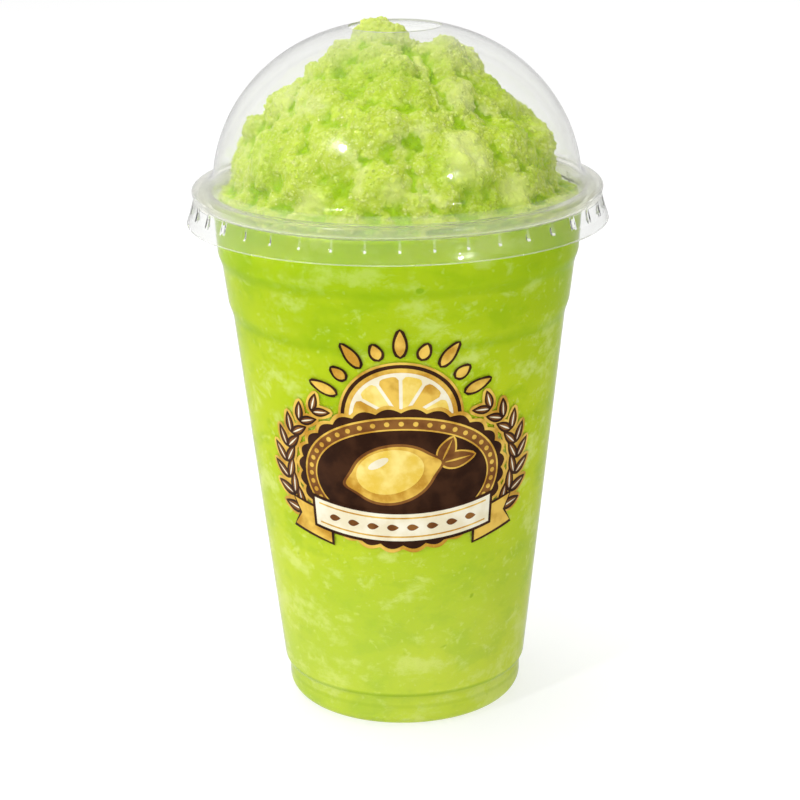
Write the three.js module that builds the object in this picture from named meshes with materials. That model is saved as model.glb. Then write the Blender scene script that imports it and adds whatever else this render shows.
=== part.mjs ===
// A take-away cup of lime slush under a clear dome lid.
//
// Three pieces, all standing on one axis: the thin-walled tapered cup with its stacking
// shoulders and rolled rim, the dome lid that snaps over that rim, and the slush, which
// fills the cup and heaps up in the dome until its peak pokes out of the straw hole.
// Millimetres, +Z up, the origin at the centre of the foot ring, on the surface the cup
// stands on. The front of the cup faces -Y.

import * as THREE from "three";

// Driving dimensions of the cup.
const RIM_DIAMETER = 98;
const CUP_HEIGHT = 133.4;
const CUP_WALL = 0.6;
const FOOT_DIAMETER = 52.4;
const FOOT_WIDTH = 2.4;
const FLOOR_RISE = 3.2;
const HEEL = { radius: 30.0, height: 7.6, corner: 4.4 };
const WALL_FOOT = { radius: 31.1, height: 10.2 };
const WALL_TOP = { radius: 41.4, height: 101.6 };
const LOW_BAND = { radius: 42.5, height: 105.0, topRadius: 43.7, topHeight: 114.6 };
const NECK = { radius: 44.7, height: 117.4, topRadius: 45.3, topHeight: 128.6 };
const BEAD = { halfWidth: 1.8, halfHeight: 1.8 };

// Driving dimensions of the lid.
const LID_WALL = 0.5;
const DOME = { radius: 45.5, height: 41.9, centre: 131.0, fullness: 0.95 };
const DOME_FOOT_HEIGHT = 136.6;
const STRAW_HOLE_DIAMETER = 22.6;
const RING = { radius: 50.6, innerRadius: 47.0, top: 134.6, edge: 133.2, groove: 131.0 };
const SKIRT = { radius: 51.9, bottom: 125.0 };
const SNAP_DENTS = 40;
const SNAP_DENT = { depth: 1.0, height: 128.6 };

// Driving dimensions of the slush.
const SLUSH_GAP = 0.35;
const BRIM_HEIGHT = 129.4;
const LEDGE = { radius: 42.6, height: 131.8 };
const HEAP = { radius: 39.4, foot: 133.0, height: 35.6, fullness: 1.6, roundness: 0.62 };
const HEAP_HEART = new THREE.Vector3(0, 0, 127);
const HEAP_ROWS = 17;
const HOLLOW = { at: new THREE.Vector2(6.0, 3.0), reach: 7.5, depth: 5.5 };
const LUMP_COUNT = 60;
const LUMP_SEED = 352;

// The large lumps that show, as [azimuth, share of the heap's height, reach, how proud].
const LARGE_LUMPS = [
  [-72, 0.89, 7.5, 4.2],
  [-19, 0.9, 7, 2.4],
  [38, 0.71, 6, 3.6],
  [104, 0.8, 6.5, 3.2],
  [74, 0.6, 5.5, 1.6],
  [-80, 0.59, 7, 2.6],
  [-90, 0.42, 5.5, 3.8],
  [-43, 0.68, 6.5, 2.4],
  [-7, 0.52, 8, 3.6],
  [15, 0.56, 6, 2.6],
  [-56, 0.32, 9.5, 3.2],
  [-36, 0.25, 7, 2.6],
  [26, 0.32, 10, 3.8],
  [18, 0.14, 8, 2.8],
  [53, 0.37, 8, 3.2],
  [76, 0.36, 6.5, 3.6],
  [-6, 0.21, 7.5, 3],
  [4, 0.09, 6.5, 2.6],
  [52, 0.14, 7, 2.4],
  [-26, 0.41, 7.5, 2.8],
  [7, 0.74, 7, 2.8],
  [-92, 0.17, 9, 2.4],
  [-94, 0.27, 7, 2.2],
  [66, 0.86, 6, 2.6],
];
// Broad dips between them, as [azimuth, share of the heap's height, reach, depth].
const DIPS = [
  [100, 0.68, 9, 3.2],
  [-100, 0.52, 8, 1.6],
  [-98, 0.72, 6.5, 1.6],
];
// The lumps of the front come again at the back, this many degrees round.
const BACK_TURN = 173;
const FRONT_REACH = 60;

const AROUND_CUP = 56;
const AROUND_LID = 2 * SNAP_DENTS;

// Points on an elliptical arc in the (radius, height) plane, both ends included.
function arc(centreRadius, centreHeight, across, up, fromDegrees, toDegrees, steps) {
  const points = [];
  for (let i = 0; i <= steps; i++) {
    const turn = THREE.MathUtils.degToRad(fromDegrees + ((toDegrees - fromDegrees) * i) / steps);
    points.push([centreRadius + across * Math.cos(turn), centreHeight + up * Math.sin(turn)]);
  }
  return points;
}

// Turns a (radius, height) profile round the Z axis. Points are [radius, height] pairs.
function turned(profile, around) {
  const points = profile.map(([radius, height]) => new THREE.Vector2(radius, height));
  return new THREE.LatheGeometry(points, around).rotateX(Math.PI / 2);
}

// The outside of the cup from the foot ring to the neck, as the radius at each height.
function cupSide(inset) {
  const corner = HEEL.corner;
  const cornerRadius = HEEL.radius - corner;
  return [
    ...arc(cornerRadius, corner, corner - inset, corner - inset, -75, -10, 3),
    [HEEL.radius - inset, HEEL.height],
    [WALL_FOOT.radius - inset, WALL_FOOT.height],
    [WALL_TOP.radius - inset, WALL_TOP.height],
    [LOW_BAND.radius - inset, LOW_BAND.height],
    [LOW_BAND.topRadius - inset, LOW_BAND.topHeight],
    [NECK.radius - inset, NECK.height],
    [NECK.topRadius - inset, NECK.topHeight],
  ];
}

// The underside: a flat foot ring round a floor that is pushed up inside it. The slope
// between them runs half as far across as it does up, so a skin that lies above it by the
// inset is also further out by 0.62 of the inset.
function cupFloor(inset) {
  const footOuter = FOOT_DIAMETER / 2;
  const footInner = footOuter - FOOT_WIDTH + 0.62 * inset;
  return [
    [0, FLOOR_RISE + inset],
    [footInner - FLOOR_RISE / 2, FLOOR_RISE + inset],
    [footInner, inset],
    [footOuter - 0.2 * inset, inset],
  ];
}

function cupGeometry() {
  const beadRadius = RIM_DIAMETER / 2 - BEAD.halfWidth;
  const beadHeight = CUP_HEIGHT - BEAD.halfHeight;
  const outside = [...cupFloor(0), ...cupSide(0)];
  const bead = arc(beadRadius, beadHeight, BEAD.halfWidth, BEAD.halfHeight, -130, 170, 7);
  const inside = [...cupFloor(CUP_WALL), ...cupSide(CUP_WALL)].reverse();
  return turned([...outside, ...bead, ...inside], AROUND_CUP);
}

// One skin of the dome, from the straw hole down to the ring. It is an ellipse with
// slightly full shoulders.
function domeSkin(inset) {
  const across = DOME.radius - inset;
  const up = DOME.height - inset;
  const holeShare = (STRAW_HOLE_DIAMETER / 2 / across) ** (1 / DOME.fullness);
  const footShare = ((DOME_FOOT_HEIGHT - DOME.centre) / up) ** (1 / DOME.fullness);
  const holeAngle = Math.acos(holeShare);
  const footAngle = Math.asin(footShare);
  const steps = 6;
  const points = [];
  for (let i = 0; i <= steps; i++) {
    const angle = holeAngle + ((footAngle - holeAngle) * i) / steps;
    points.push([
      across * Math.cos(angle) ** DOME.fullness,
      DOME.centre + up * Math.sin(angle) ** DOME.fullness,
    ]);
  }
  return points;
}

// One skin of the lid, from the straw hole down to the edge of the skirt.
function lidSkin(inset) {
  return [
    ...domeSkin(inset),
    [RING.innerRadius - inset * 0.6, RING.top - inset],
    [RING.radius - 1 - inset * 0.4, RING.edge + 0.7 - inset],
    [RING.radius - inset, RING.edge - inset * 0.4],
    [RING.radius - 0.4 - inset, RING.groove],
    [RING.radius - inset, SNAP_DENT.height],
    [SKIRT.radius - inset, SKIRT.bottom],
  ];
}

// Pinches the skirt inwards at every other column, just under the cup's rim.
function pressSnapDents(geometry) {
  const position = geometry.getAttribute("position");
  const point = new THREE.Vector3();
  for (let i = 0; i < position.count; i++) {
    point.fromBufferAttribute(position, i);
    const isDeepest = Math.abs(point.z - SNAP_DENT.height) < 0.01;
    const column = Math.round((Math.atan2(point.y, point.x) / (2 * Math.PI)) * AROUND_LID);
    if (isDeepest && column % 2 === 0) {
      const radius = Math.hypot(point.x, point.y);
      const pinched = (radius - SNAP_DENT.depth) / radius;
      position.setXY(i, point.x * pinched, point.y * pinched);
    }
  }
  return geometry;
}

function lidGeometry() {
  const outside = lidSkin(0).reverse();
  const inside = lidSkin(LID_WALL);
  return pressSnapDents(turned([...outside, ...inside, outside[0]], AROUND_LID));
}

// A small repeatable random number source, so that each build heaps the same lumps.
function randomSource(seed) {
  let state = seed;
  return () => {
    state = (state * 16807) % 2147483647;
    return state / 2147483647;
  };
}

// The smooth heap under the lumps: its radius at a share of its height, 0 foot to 1 top.
function heapRadius(share) {
  return HEAP.radius * (1 - share ** HEAP.fullness) ** HEAP.roundness;
}

// A point on the smooth heap. Azimuth 0 is the front, 90 the right-hand side.
function onHeap(azimuthDegrees, share) {
  const azimuth = THREE.MathUtils.degToRad(azimuthDegrees);
  const radius = heapRadius(share);
  return new THREE.Vector3(
    radius * Math.sin(azimuth),
    -radius * Math.cos(azimuth),
    HEAP.foot + HEAP.height * share,
  );
}

// The lumps that stand out of the heap: the peak and its neighbour, the large ones, and a
// spiral of smaller ones all round.
function heapLumps() {
  const lumps = [
    { at: new THREE.Vector3(-4.2, 0, 167.6), reach: 8.4, proud: 6.3 },
    { at: new THREE.Vector3(-0.4, -1.5, 167.8), reach: 6.4, proud: 5 },
    { at: new THREE.Vector3(11.8, -4.5, 164), reach: 7.6, proud: 4.8 },
  ];
  for (const [azimuth, share, reach, proud] of LARGE_LUMPS) {
    lumps.push({ at: onHeap(azimuth, share), reach, proud });
    if (Math.abs(azimuth) < FRONT_REACH && share < 0.8) {
      lumps.push({ at: onHeap(azimuth + BACK_TURN, share), reach, proud });
    }
  }
  const random = randomSource(LUMP_SEED);
  const goldenTurn = 137.508;
  for (let i = 0; i < LUMP_COUNT; i++) {
    const share = 0.06 + 0.9 * ((i + 0.5) / LUMP_COUNT) ** 1.15;
    lumps.push({
      at: onHeap(i * goldenTurn + 16 * random(), share),
      reach: 3.5 + 3.5 * random(),
      proud: 0.4 + 1.4 * random(),
    });
  }
  return lumps;
}

// How far the lumpy surface stands out of the smooth heap at a point. Under the straw hole
// the hollow beside the peak takes it inwards instead.
function lumpHeight(point, lumps) {
  let highest = 0;
  for (const lump of lumps) {
    const share = point.distanceTo(lump.at) / lump.reach;
    if (share < 1) highest = Math.max(highest, lump.proud * (1 - share * share));
  }
  for (const [azimuth, shareUp, reach, depth] of DIPS) {
    const share = point.distanceTo(onHeap(azimuth, shareUp)) / reach;
    if (share < 1) highest -= depth * (1 - share * share) ** 2;
  }
  const across = Math.hypot(point.x - HOLLOW.at.x, point.y - HOLLOW.at.y) / HOLLOW.reach;
  if (across >= 1) return highest;
  return THREE.MathUtils.lerp(-HOLLOW.depth, highest, THREE.MathUtils.smoothstep(across, 0.55, 1));
}

function slushGeometry() {
  const wall = [...cupFloor(CUP_WALL + SLUSH_GAP), ...cupSide(CUP_WALL + SLUSH_GAP)];
  const brim = [NECK.topRadius - CUP_WALL - SLUSH_GAP, BRIM_HEIGHT];
  const heap = [[LEDGE.radius, LEDGE.height]];
  for (let i = 0; i <= HEAP_ROWS; i++) {
    const share = Math.sin((i / HEAP_ROWS) * (Math.PI / 2));
    heap.push([heapRadius(share), HEAP.foot + HEAP.height * share]);
  }
  heap[HEAP_ROWS + 1][0] = 0;
  const geometry = turned([...wall, brim, ...heap], AROUND_CUP);
  const lumps = heapLumps();
  const position = geometry.getAttribute("position");
  const point = new THREE.Vector3();
  const outwards = new THREE.Vector3();
  for (let i = 0; i < position.count; i++) {
    point.fromBufferAttribute(position, i);
    if (point.z < HEAP.foot - 0.5) continue;
    outwards.subVectors(point, HEAP_HEART).normalize();
    point.addScaledVector(outwards, lumpHeight(point, lumps));
    position.setXYZ(i, point.x, point.y, point.z);
  }
  return geometry;
}

const clearPlastic = { color: 0xf2f5f2, roughness: 0.06, metalness: 0, transparent: true };

const cup = new THREE.Mesh(
  cupGeometry(),
  new THREE.MeshStandardMaterial({ ...clearPlastic, opacity: 0.25 }),
);
cup.name = "cup";

const lid = new THREE.Mesh(
  lidGeometry(),
  new THREE.MeshStandardMaterial({ ...clearPlastic, opacity: 0.2 }),
);
lid.name = "dome_lid";

const slush = new THREE.Mesh(
  slushGeometry(),
  new THREE.MeshStandardMaterial({ color: 0xb4d93a, roughness: 0.4, metalness: 0 }),
);
slush.name = "slush";

const drink = new THREE.Group();
drink.add(cup, lid, slush);

export default drink;
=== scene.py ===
# %% [markdown]
# # Lime slush in a clear cup with a dome lid
# The real object is three things on one axis: a thin clear cup with a rolled rim, a clear
# dome lid that snaps over that rim, and grainy lime slush that fills the cup and heaps up
# in the dome. A badge is printed on the front of the cup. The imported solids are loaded
# first, because everything made here has to fit them.

# %% Load the frame and note its box
import math

import bpy
import numpy as np
from mathutils import Matrix, Vector


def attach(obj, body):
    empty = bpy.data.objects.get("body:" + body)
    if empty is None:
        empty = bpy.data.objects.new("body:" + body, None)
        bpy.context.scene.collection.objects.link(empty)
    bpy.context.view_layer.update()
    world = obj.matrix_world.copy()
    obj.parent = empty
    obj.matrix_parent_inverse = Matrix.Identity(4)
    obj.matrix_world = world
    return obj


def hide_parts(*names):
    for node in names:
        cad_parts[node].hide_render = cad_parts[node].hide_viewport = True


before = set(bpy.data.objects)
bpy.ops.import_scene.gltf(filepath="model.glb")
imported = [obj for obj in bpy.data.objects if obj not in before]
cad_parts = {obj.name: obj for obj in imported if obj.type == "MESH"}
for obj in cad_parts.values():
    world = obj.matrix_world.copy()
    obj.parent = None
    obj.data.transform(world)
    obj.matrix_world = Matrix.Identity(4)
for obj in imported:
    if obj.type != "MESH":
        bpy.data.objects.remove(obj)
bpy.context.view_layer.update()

MM = 0.001
print("CAD nodes:", sorted(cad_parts))

# %% [markdown]
# The camera comes first. The photograph was taken from about 54 cm away and 25 cm above the
# table, so it looks a little down on the lid. A long lens keeps the cup's sides nearly
# straight. The object leans a little in the picture, so the camera is rolled by a degree.

# %% Set the camera
CAMERA_DISTANCE = 542.5 * MM
CAMERA_HEIGHT = 248.6 * MM
CAMERA_PITCH = math.radians(17.54)
CAMERA_ROLL = math.radians(-0.92)
CAMERA_ASIDE = -0.2 * MM
FOCAL_PIXELS = 2244
FRAME_PIXELS = 800
SENSOR_WIDTH = 36.0

camera_data = bpy.data.cameras.new("camera")
camera_data.sensor_width = SENSOR_WIDTH
camera_data.lens = SENSOR_WIDTH * FOCAL_PIXELS / FRAME_PIXELS
camera_data.clip_start = 0.01
camera = bpy.data.objects.new("camera", camera_data)
bpy.context.scene.collection.objects.link(camera)
camera.location = (CAMERA_ASIDE, -CAMERA_DISTANCE, CAMERA_HEIGHT)
look = Matrix.Rotation(math.radians(90) - CAMERA_PITCH, 4, "X")
roll = Matrix.Rotation(CAMERA_ROLL, 4, "Z")
camera.rotation_euler = (look @ roll).to_euler()
bpy.context.scene.camera = camera
print("camera lens in mm:", round(camera_data.lens, 1))

# %% [markdown]
# The world's light, the materials and the scatter of ice grains are all built from nodes.
# One helper fills a node's inputs, one makes a node with its settings, and one adds the
# Map Range node that fades one thing into another.

# %% Helpers for nodes
def feed(tree, node, inputs):
    """Fills a node's inputs: another node's output is linked, and any other value is set."""
    for name, value in inputs.items():
        if isinstance(value, bpy.types.NodeSocket):
            tree.links.new(value, node.inputs[name])
        else:
            node.inputs[name].default_value = value


def add_node(tree, kind, inputs=None, **settings):
    """A node with its settings and its inputs filled in."""
    node = tree.nodes.new(kind)
    for key, value in settings.items():
        setattr(node, key, value)
    feed(tree, node, inputs or {})
    return node


def remap(tree, value, low, high, out_low=0.0, out_high=1.0, smooth=True):
    """Maps the range low to high of a value onto another range, clamped at both ends."""
    shape = "SMOOTHSTEP" if smooth else "LINEAR"
    ranges = {"From Min": low, "From Max": high, "To Min": out_low, "To Max": out_high}
    inputs = {"Value": value, **ranges}
    node = add_node(tree, "ShaderNodeMapRange", inputs, interpolation_type=shape)
    return node.outputs["Result"]


# %% [markdown]
# The object stands in plain studio light. A pale world lights it from all round, more
# from behind and from the left, so that the plastic's edges show. A small bright lamp to
# the left and a weaker one to the right make the two glints on the dome. Wide lamps that
# gloss doesn't mirror do the rest, the strongest overhead. The floor is a large plain
# sheet that glows a little, which keeps it white and lights the cup's walls.

# %% Light the studio
WORLD_COLOUR = (1.0, 1.0, 0.99, 1.0)
WORLD_IN_FRONT = 0.26
WORLD_BEHIND = 0.74
WORLD_BRIGHTEST = (-0.6, 0.8, 0.0)
WORLD_FADE = (-0.2, 0.7)
LAMPS_AIM = Vector((0, 0, 0.12))
# Each lamp's name, direction, distance, size, power in watts, and whether gloss mirrors it.
LAMPS = (
    ("key_lamp", (-0.503, -0.594, 0.627), 1.5, 0.12, 4.6, True),
    ("side_lamp", (0.516, -0.785, 0.343), 1.5, 0.08, 1.4, True),
    ("left_soft_lamp", (-1.0, -0.7, 0.35), 1.6, 1.0, 3.2, False),
    ("front_soft_lamp", (-0.25, -1.0, 0.45), 1.6, 1.0, 5.1, False),
    ("right_soft_lamp", (0.8, -0.3, 1.1), 1.6, 1.0, 1.8, False),
    ("back_soft_lamp", (0.1, 1.0, 0.6), 1.6, 1.0, 1.5, False),
    ("top_soft_lamp", (-0.2, 0.1, 1.0), 1.6, 1.2, 11.6, False),
)

world = bpy.data.worlds.new("studio_world")
bpy.context.scene.world = world
world.use_nodes = True
sky = world.node_tree
compass = {
    0: add_node(sky, "ShaderNodeTexCoord").outputs["Generated"],
    1: WORLD_BRIGHTEST,
}
lean = add_node(sky, "ShaderNodeVectorMath", compass, operation="DOT_PRODUCT").outputs["Value"]
strength = remap(sky, lean, *WORLD_FADE, WORLD_IN_FRONT, WORLD_BEHIND, smooth=False)
feed(sky, sky.nodes["Background"], {"Color": WORLD_COLOUR, "Strength": strength})
bpy.context.scene.view_settings.view_transform = "Standard"


def add_lamp(name, direction, distance, size, watts, glints):
    """A round area lamp that shines on the cup from a direction."""
    data = bpy.data.lights.new(name, "AREA")
    data.shape = "DISK"
    data.size = size
    data.energy = watts
    lamp = bpy.data.objects.new(name, data)
    bpy.context.scene.collection.objects.link(lamp)
    towards = Vector(direction).normalized()
    lamp.location = LAMPS_AIM + towards * distance
    lamp.rotation_euler = towards.to_track_quat("Z", "Y").to_euler()
    lamp.visible_glossy = glints
    lamp.visible_transmission = glints


for lamp_values in LAMPS:
    add_lamp(*lamp_values)
print("lamps:", len(LAMPS))

# %% Lay the floor
FLOOR_SIZE = 80.0
FLOOR_DROP = 0.2
FLOOR_GREY = (0.45, 0.45, 0.45, 1)
FLOOR_GLOW = 0.66

bpy.ops.object.select_all(action="DESELECT")
bpy.ops.mesh.primitive_plane_add(size=FLOOR_SIZE, location=(0, 0, -FLOOR_DROP * MM))
floor = bpy.context.object
floor.name = "floor"
bpy.ops.object.transform_apply(location=True, rotation=True, scale=True)
floor_finish = bpy.data.materials.new("pale_floor")
floor_finish.use_nodes = True
floor_look = {
    "Base Color": FLOOR_GREY,
    "Emission Color": (1, 1, 1, 1),
    "Emission Strength": FLOOR_GLOW,
    "Roughness": 0.9,
    "Specular IOR Level": 0.1,
}
feed(floor_finish.node_tree, floor_finish.node_tree.nodes["Principled BSDF"], floor_look)
floor.data.materials.append(floor_finish)
floor.visible_glossy = False

# %% [markdown]
# Nearly every piece is round, so one helper does the work of a lathe. It starts from a
# plane merged to a single point, extrudes that point along the profile, and spins the
# line of edges round the Z axis. A second helper rounds the corners of a profile first,
# because warm plastic sheet never takes a sharp corner.

# %% Helpers for turned pieces
def deselect_all():
    """Leaves object mode with nothing selected, so that an operator acts on one piece only."""
    if bpy.context.object and bpy.context.object.mode != "OBJECT":
        bpy.ops.object.mode_set(mode="OBJECT")
    bpy.ops.object.select_all(action="DESELECT")


def take_up(piece):
    """Selects one piece and makes it active."""
    deselect_all()
    piece.select_set(True)
    bpy.context.view_layer.objects.active = piece


def apply_modifiers(piece):
    """Applies a piece's modifiers in order."""
    take_up(piece)
    for modifier in list(piece.modifiers):
        bpy.ops.object.modifier_apply(modifier=modifier.name)


def rounded(corners, steps=4):
    """A profile with its corners rounded. Corners are (radius, height, rounding) in mm."""
    points = [corners[0][:2]]
    for before, corner, after in zip(corners, corners[1:], corners[2:]):
        here = np.array(corner[:2], float)
        rounding = corner[2]
        if not rounding:
            points.append(tuple(here))
            continue
        back = np.array(before[:2], float) - here
        ahead = np.array(after[:2], float) - here
        start = here + back * min(rounding / np.linalg.norm(back), 0.49)
        end = here + ahead * min(rounding / np.linalg.norm(ahead), 0.49)
        for step in range(steps + 1):
            t = step / steps
            points.append(tuple((1 - t) ** 2 * start + 2 * t * (1 - t) * here + t * t * end))
    points.append(corners[-1][:2])
    return points


def arc(centre, radius, first, last, steps):
    """Points in mm on an arc, both ends included. Angles are in degrees."""
    turns = np.radians(np.linspace(first, last, steps + 1))
    return [
        (centre[0] + radius * math.cos(turn), centre[1] + radius * math.sin(turn))
        for turn in turns
    ]


def spaced(points, longest):
    """The same line with extra points, so that no edge is longer than a length in mm."""
    line = [points[0]]
    for before, after in zip(points, points[1:]):
        length = math.dist(before, after)
        count = max(1, math.ceil(length / longest))
        for step in range(1, count + 1):
            t = step / count
            line.append(tuple(b + (a - b) * t for b, a in zip(before, after)))
    return line


def turn_on_lathe(name, profile, around):
    """Extrudes a point along a profile of (radius, height) in mm and spins it round Z."""
    deselect_all()
    bpy.ops.mesh.primitive_plane_add(size=1 * MM)
    piece = bpy.context.object
    piece.name = name
    bpy.ops.object.mode_set(mode="EDIT")
    bpy.ops.mesh.select_all(action="SELECT")
    bpy.ops.mesh.merge(type="CENTER")
    radius, height = profile[0]
    bpy.ops.transform.translate(value=(radius * MM, 0, height * MM))
    for next_radius, next_height in profile[1:]:
        step = ((next_radius - radius) * MM, 0, (next_height - height) * MM)
        bpy.ops.mesh.extrude_region_move(TRANSFORM_OT_translate={"value": step})
        radius, height = next_radius, next_height
    bpy.ops.mesh.select_all(action="SELECT")
    bpy.ops.mesh.spin(steps=around, angle=math.tau, center=(0, 0, 0), axis=(0, 0, 1))
    bpy.ops.mesh.select_all(action="SELECT")
    bpy.ops.mesh.remove_doubles(threshold=0.002 * MM)
    bpy.ops.mesh.normals_make_consistent(inside=False)
    bpy.ops.object.mode_set(mode="OBJECT")
    outwards = sum(
        face.area * face.normal.xy.dot(face.center.xy.normalized()) for face in piece.data.polygons
    )
    if outwards < 0:
        piece.data.flip_normals()
    return piece


def point_places(piece):
    """The places of a piece's points in mm, one row for each."""
    places = np.empty(len(piece.data.vertices) * 3)
    piece.data.vertices.foreach_get("co", places)
    return places.reshape(-1, 3) / MM


def report(piece):
    """Prints a finished piece's triangle count and its box in mm."""
    piece.data.calc_loop_triangles()
    places = point_places(piece)
    low, high = places.min(0).round(2), places.max(0).round(2)
    print(piece.name, len(piece.data.loop_triangles), "triangles,", low, "to", high)


# %% [markdown]
# Clear plastic is a glass-like shader with a low roughness. The real cup and lid are made
# of thin sheet, so they bend the light very little, but both faces of the sheet reflect,
# and a slight grey tint builds up where the sheet is seen edge on. A thin rough coat
# spreads a soft halo round the glints. Shadow rays pass straight through, because Blender
# would otherwise shade the slush as if the lid were solid. A faint ripple in the surface
# stands for the sheet's uneven thickness.

# %% Mix the clear plastic
HALO_ROUGHNESS = 0.16
HAZE_SCALE = 90.0
RIPPLE_SCALE = 55.0
RIPPLE_HEIGHT = 0.15


def new_material(name):
    """A node material, its tree, its Principled shader and the piece's own coordinates."""
    material = bpy.data.materials.new(name)
    material.use_nodes = True
    tree = material.node_tree
    coordinates = add_node(tree, "ShaderNodeTexCoord").outputs["Object"]
    return material, tree, tree.nodes["Principled BSDF"], coordinates


def add_noise(tree, coordinates, scale, detail=3.0, roughness=0.5, distortion=0.0):
    """A noise texture. Its scale counts features to the metre."""
    inputs = {
        "Vector": coordinates,
        "Scale": scale,
        "Detail": detail,
        "Roughness": roughness,
        "Distortion": distortion,
    }
    return add_node(tree, "ShaderNodeTexNoise", inputs).outputs["Fac"]


def add_bump(tree, height, distance, strength):
    """The normal that a relief gives. The distance is its real height in mm."""
    inputs = {"Height": height, "Distance": distance * MM, "Strength": strength}
    return add_node(tree, "ShaderNodeBump", inputs).outputs["Normal"]


def clear_plastic(name, tint, roughness, clearness, bending, halo=0.0):
    """Clear sheet that shadow rays pass straight through. Less clearness is a milky haze."""
    material, tree, shader, coordinates = new_material(name)
    haze = add_noise(tree, coordinates, HAZE_SCALE)
    waves = add_noise(tree, coordinates, RIPPLE_SCALE, 2.0)
    look = {
        "Base Color": (*tint, 1),
        "Roughness": remap(tree, haze, 0.3, 0.8, roughness * 0.5, roughness * 1.6),
        "Transmission Weight": clearness,
        "IOR": bending,
        "Coat Weight": halo,
        "Coat Roughness": HALO_ROUGHNESS,
        "Normal": add_bump(tree, waves, RIPPLE_HEIGHT, 0.35),
    }
    feed(tree, shader, look)
    shadows = {
        "Fac": add_node(tree, "ShaderNodeLightPath").outputs["Is Shadow Ray"],
        1: shader.outputs["BSDF"],
        2: add_node(tree, "ShaderNodeBsdfTransparent").outputs["BSDF"],
    }
    mix = add_node(tree, "ShaderNodeMixShader", shadows)
    feed(tree, tree.nodes["Material Output"], {"Surface": mix.outputs["Shader"]})
    return material


# Each plastic's tint, roughness, clearness, bending of the light and halo.
cup_plastic = clear_plastic("clear_cup_plastic", (0.985, 0.988, 0.975), 0.05, 1.0, 1.12)
# The rolled rim's plastic is tinted darker: painted shadow where the lid's ring lies over it.
shaded_rim_plastic = clear_plastic("rolled_rim_shaded_plastic", (0.88, 0.89, 0.79), 0.10, 0.97, 1.35)
lid_plastic = clear_plastic("clear_lid_plastic", (0.975, 0.977, 0.97), 0.05, 1.0, 1.27, 0.2)
ring_plastic = clear_plastic("hazy_ring_plastic", (0.96, 0.96, 0.89), 0.08, 0.96, 1.25, 0.5)
skirt_plastic = clear_plastic("clear_skirt_plastic", (0.93, 0.935, 0.92), 0.06, 0.98, 1.33, 0.3)
crease_plastic = clear_plastic("creased_plastic", (0.94, 0.945, 0.92), 0.15, 0.91, 1.35)
# The lip at the skirt's edge is hazier: a painted highlight line along the edge.
lip_highlight_plastic = clear_plastic("rolled_lip_highlight_plastic", (0.94, 0.94, 0.92), 0.20, 0.84, 1.35)
# The cut edges of the sheet and the foot of each dent get a milky plastic: painted highlight lines
# and dots.
edge_highlight_plastic = clear_plastic("cut_edge_highlight_plastic", (0.93, 0.93, 0.91), 0.35, 0.35, 1.45)

# %% [markdown]
# The cup is sheet plastic drawn down over a mould. Its floor is pushed up inside a narrow
# foot ring, a small step sits above the heel, and two shoulders under the rim let empty
# cups stack without jamming. The sheet ends in a rolled rim. The profile below is the
# outside of the sheet, and Solidify gives it its thickness on the inside.

# %% Turn the cup
CUP_WALL = 0.5
AROUND = 192
FLOOR_RISE = 3.2
FOOT_INNER = 23.8
FOOT_OUTER = 26.2
HEEL_CENTRE = (25.6, 4.4)
HEEL_ROUND = 4.4
WALL_FOOT = (31.1, 9.8)
WALL_TOP = (41.4, 101.6)
# Corners of the wall's outside, from the step above the heel to the upper shoulder.
WALL_CORNERS = (
    (30.0, 8.2, 0.4),
    (*WALL_FOOT, 0.5),
    (*WALL_TOP, 0.9),
    (42.5, 105.0, 0.8),
    (43.7, 114.6, 0.8),
    (44.7, 117.4, 0.7),
)
NECK = (45.3, 128.6)
RIM_CENTRE = (47.2, 131.6)
RIM_CURL = 1.3
RIM_FOOT = 129.6
SMOOTH_BELOW = math.radians(50)


def heel(inset):
    """The round of the heel, an inset in from the outside of the wall."""
    return [(*point, 0) for point in arc(HEEL_CENTRE, HEEL_ROUND - inset, -75, -6, 10)]


def face_height(face):
    """The height of a face's centre in mm."""
    return face.center.z / MM


cup_corners = [
    (0, FLOOR_RISE, 0),
    (FOOT_INNER - FLOOR_RISE / 2, FLOOR_RISE, 0.8),
    (FOOT_INNER, 0, 0.4),
    (FOOT_OUTER, 0, 0.3),
    *heel(0),
    *WALL_CORNERS,
    (*NECK, 1.0),
    (RIM_CENTRE[0] - RIM_CURL, RIM_CENTRE[1] - 0.6, 0),
]
cup_profile = rounded(cup_corners) + arc(RIM_CENTRE, RIM_CURL, 180, -110, 14)

cup = turn_on_lathe("cup_sheet", cup_profile, AROUND)
wall = cup.modifiers.new("wall", "SOLIDIFY")
wall.thickness = CUP_WALL * MM
wall.offset = -1
wall.use_even_offset = True
apply_modifiers(cup)
bpy.ops.object.shade_smooth_by_angle(angle=SMOOTH_BELOW)
cup.data.materials.append(cup_plastic)
cup.data.materials.append(shaded_rim_plastic)
for face in cup.data.polygons:
    if face_height(face) > RIM_FOOT:
        face.material_index = 1
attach(cup, "root")
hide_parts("cup")
report(cup)

# %% [markdown]
# The lid is one thin sheet too: a dome with a hole for the straw at its top, a flat ring
# that sits on the cup's rim, a groove under the ring and a skirt that flares below it.
# The profile runs down the outside, and ends in a narrow lip at the skirt's edge.

# %% Turn the lid
LID_WALL = 0.45
SNAP_DENTS = 40
DENT_PITCH = 15
AROUND_LID = SNAP_DENTS * DENT_PITCH
DOME_CENTRE = (0.0, 131.0)
DOME_ACROSS = 45.5
DOME_UP = 41.9
DOME_FULLNESS = 0.95
DOME_FOOT = 136.6
STRAW_HOLE = 11.3
RING_TOP = 135.6
RING_FOOT = 130.6
SKIRT_EDGE = (51.9, 125.0)
SKIRT_LIP = 125.3
DOME_STEPS = 34
DENT_DEPTH = 0.7
DENT_TOP = 131.2
DENT_BOTTOM = 127.7
DENT_DEEPEST = 128.3

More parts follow.
